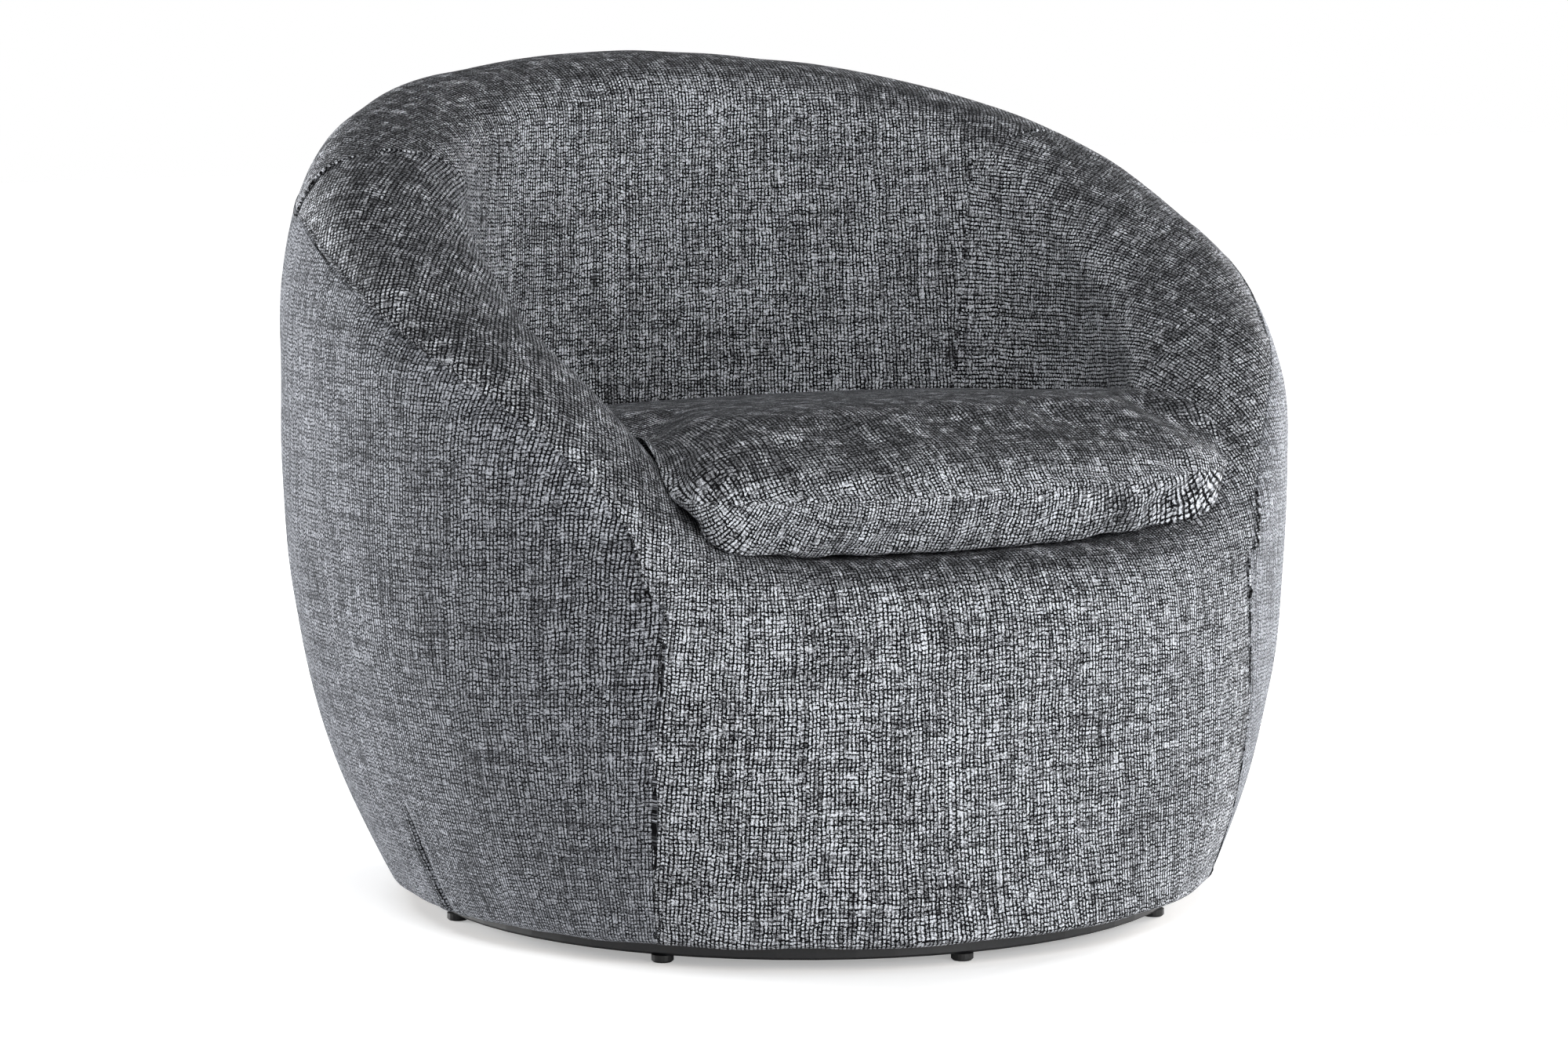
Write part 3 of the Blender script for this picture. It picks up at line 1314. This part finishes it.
def finish(name, first, second, stretch, rough, depth, metallic=0.0, cells=False, specular=0.5):
    """A finish of two colours mixed by a pattern; stretch is how many of its waves go into a metre."""
    made, tree = new_material(name)
    spot = add(tree, "TexCoord").outputs["Object"]
    spot = add(tree, "VectorMath", {0: spot, 1: stretch}, operation="MULTIPLY").outputs[0]
    if cells:
        pattern = add(tree, "TexVoronoi", {"Vector": spot, "Scale": 1.0}).outputs["Distance"]
    else:
        noise = {"Vector": spot, "Scale": 1.0, "Detail": 5.0, "Roughness": 0.6}
        pattern = add(tree, "TexNoise", noise).outputs["Fac"]
    clear = {"Value": pattern, "From Min": pattern_low, "From Max": pattern_high}
    clear = add(tree, "MapRange", clear).outputs[0]
    colours = {"Factor": clear, 6: linear(first), 7: linear(second)}
    colour = add(tree, "Mix", colours, data_type="RGBA").outputs[2]
    gloss = {"Value": pattern, "To Min": rough - gloss_spread, "To Max": rough + gloss_spread}
    gloss = add(tree, "MapRange", gloss).outputs[0]
    bump = {"Height": pattern, "Distance": depth, "Strength": bump_strength}
    bump = add(tree, "Bump", bump).outputs["Normal"]
    shader = add(tree, "BsdfPrincipled", {
        "Base Color": colour,
        "Roughness": gloss,
        "Metallic": metallic,
        "Specular IOR Level": specular,
        "Normal": bump,
    })
    add(tree, "OutputMaterial", {"Surface": shader.outputs[0]})
    return made


# The waves to a metre come from real sizes: ripple of 2.5 mm in the paint, grain of 0.6 mm in the
# plastic (drawn at 0.9 mm), plywood grain of 1.2 mm across and 40 mm along, fibres of 1.5 mm in the
# hardboard, clouds of 12 mm on the zinc, foam cells of 1.2 mm, and bonded spots of 2 mm in the cloth.
finishes = {
    "plinth": finish("satin_charcoal_paint_on_board", "17181A", "202124", (400, 400, 400), 0.42, 0.00005),
    "glide": finish("moulded_black_polypropylene", "0E0E0F", "19191A", (1100, 1100, 1100), 0.50, 0.00006),
    "plywood": finish("raw_birch_plywood", "B08A5B", "D9B98A", (25, 820, 820), 0.62, 0.0001),
    "hardboard": finish("pressed_hardboard", "4A3120", "6E4C33", (660, 660, 660), 0.55, 0.00008),
    "steel": finish("zinc_plated_steel", "AEB3B7", "C6CACC", (80, 80, 80), 0.34, 0.00002, metallic=1.0),
    "foam": finish("open_cell_foam", "F0E9D6", "CDBF9F", (830, 830, 830), 0.92, 0.0004,
                   cells=True, specular=0.2),
    "dust_cloth": finish("spunbond_black_cloth", "1C1C1D", "0B0B0C", (500, 500, 500), 0.90, 0.0002,
                         cells=True),
}
for part in frame["record"]["subparts"]:
    if part["material_slot"] in finishes:
        for slot in nodes[part["node"]].material_slots:
            slot.material = finishes[part["material_slot"]]
for piece in foams.values():
    piece.data.materials.append(finishes["foam"])
for piece in (deck, dust):
    piece.data.materials.append(finishes["dust_cloth"])
print(f"{len(finishes)} finishes for the frame and what lies inside")

# %% [markdown]
# ## The floor and the world
#
# The photograph is a studio shot on white. The white of the ground comes from the floor's own colour as
# the camera sees it, so it puts no more light on the chair, and the floor still takes the chair's
# shadow. The world does the same: it is white to the camera and faint to the chair.

# %% Stage
world_light, floor_half, glow_from, glow_to, glow_near = 0.06, 9.0, 0.5, 1.5, 0.35
scene = bpy.context.scene
scene.view_settings.view_transform = "Standard"
world = bpy.data.worlds.new("studio")
scene.world = world
world.use_nodes = True
tree = world.node_tree
tree.nodes.clear()
path = add(tree, "LightPath").outputs
seen = {0: path["Is Camera Ray"], 1: path["Is Glossy Ray"]}
seen = add(tree, "Math", seen, operation="MAXIMUM").outputs[0]
seen = add(tree, "Math", {0: seen, 1: path["Is Transmission Ray"]}, operation="MAXIMUM").outputs[0]
strength = add(tree, "MapRange", {"Value": seen, "To Min": world_light, "To Max": 1.0}).outputs[0]
sky = add(tree, "Background", {"Color": linear("FFFFFF"), "Strength": strength})
add(tree, "OutputWorld", {"Surface": sky.outputs[0]})

floor_corners = np.array([(-1, -1, 0), (1, -1, 0), (1, 1, 0), (-1, 1, 0)]) * floor_half
floor = mesh_piece("floor", floor_corners, np.array([(0, 1, 2, 3)]))
floor_paint, tree = new_material("studio_floor")
path = add(tree, "LightPath").outputs
spot = add(tree, "TexCoord").outputs["Object"]
from_chair = add(tree, "VectorMath", {0: spot}, operation="LENGTH").outputs["Value"]
white = {"Value": from_chair, "From Min": glow_from, "From Max": glow_to, "To Min": glow_near}
white = add(tree, "MapRange", white, interpolation_type="SMOOTHSTEP").outputs[0]
glow = add(tree, "Math", {0: path["Is Camera Ray"], 1: white}, operation="MULTIPLY").outputs[0]
ground = add(tree, "BsdfPrincipled", {"Base Color": linear("F4F4F4"), "Roughness": 0.9})
shine = add(tree, "Emission", {"Color": linear("FFFFFF"), "Strength": glow})
both = add(tree, "AddShader", {0: ground.outputs[0], 1: shine.outputs[0]})
add(tree, "OutputMaterial", {"Surface": both.outputs[0]})
floor.data.materials.append(floor_paint)
print(f"floor of {2 * floor_half:.0f} m, world at {world_light} of white for the chair")

# %% [markdown]
# ## The lamps
#
# Two low soft lamps, in front and on the right, are the key. They show the tufts on the front and on the
# cushion's edge. One lamp high in front on the left and one high behind it bring up the tops of the
# arms. Two low ones behind the chair are the strongest: they graze the belly and give the pale edge that
# it has along both sides.

# %% Lamps round the chair
lamp_distance, lamp_aim = 3.3, Vector((0, 0, 0.35))


def lamp(name, turn, climb, size, power):
    """A square soft lamp aimed at the chair, at degrees from the front towards the right and up."""
    flat, up = math.radians(turn), math.radians(climb)
    way = Vector((math.cos(up) * math.sin(flat), -math.cos(up) * math.cos(flat), math.sin(up)))
    data = bpy.data.lights.new(name, "AREA")
    data.size = size
    data.energy = power
    made = link(name, data)
    made.location = lamp_aim + lamp_distance * way
    made.rotation_euler = (-way).to_track_quat("-Z", "Y").to_euler()


lamp("key_front", 8, 8, 1.5, 48)
lamp("key_right", 62, 8, 1.5, 34)
lamp("front_high", -25, 38, 1.5, 36)
lamp("back_high", -110, 55, 1.5, 34)
lamp("rim_right", 108, 2, 1.2, 230)
lamp("rim_left", -140, 2, 1.2, 150)
print(f"{len(bpy.data.lights)} lamps")

# %% [markdown]
# ## Riding, replacing and declaring
#
# Each piece says which body carries it, which plain CAD solids it stands for and what kind of soft piece
# it is. The covers over foam are padded. The outside panels are plain cloth, stretched over board. A
# fiftieth of such a panel's mesh is the allowance that goes into its seams.


def declare(piece, body, node):
    """Says which body carries a piece, which slot it fills and which CAD node it stands for."""
    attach(piece, body)
    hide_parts(node)


def flat_size(piece):
    """Width and length of a panel as it was cut: the extent of its weave map, in metres."""
    layer = piece.data.uv_layers["weave"].data
    flat = np.zeros(len(layer) * 2, np.float32)
    layer.foreach_get("uv", flat)
    extent = np.ptp(flat.reshape(-1, 2), axis=0)
    return round(float(extent[0]), 3), round(float(extent[1]), 3)


for piece, side in ((outside_left, "left"), (outside_right, "right")):
    declare(piece, "seat", f"outside_cover_{side}")
    size = flat_size(piece)
    print(f"{piece.name}: cut {size[0]} x {size[1]} m")

declare(arms_and_front, "seat", "arm_and_front_cover")
declare(inside_back, "seat", "inside_back_cover")
declare(cushion, "cushion", "seat_cushion")
for node, piece in foams.items():
    declare(piece, "seat", node)
declare(deck, "seat", "deck_pad")

declare(dust, "seat", "dust_cover")
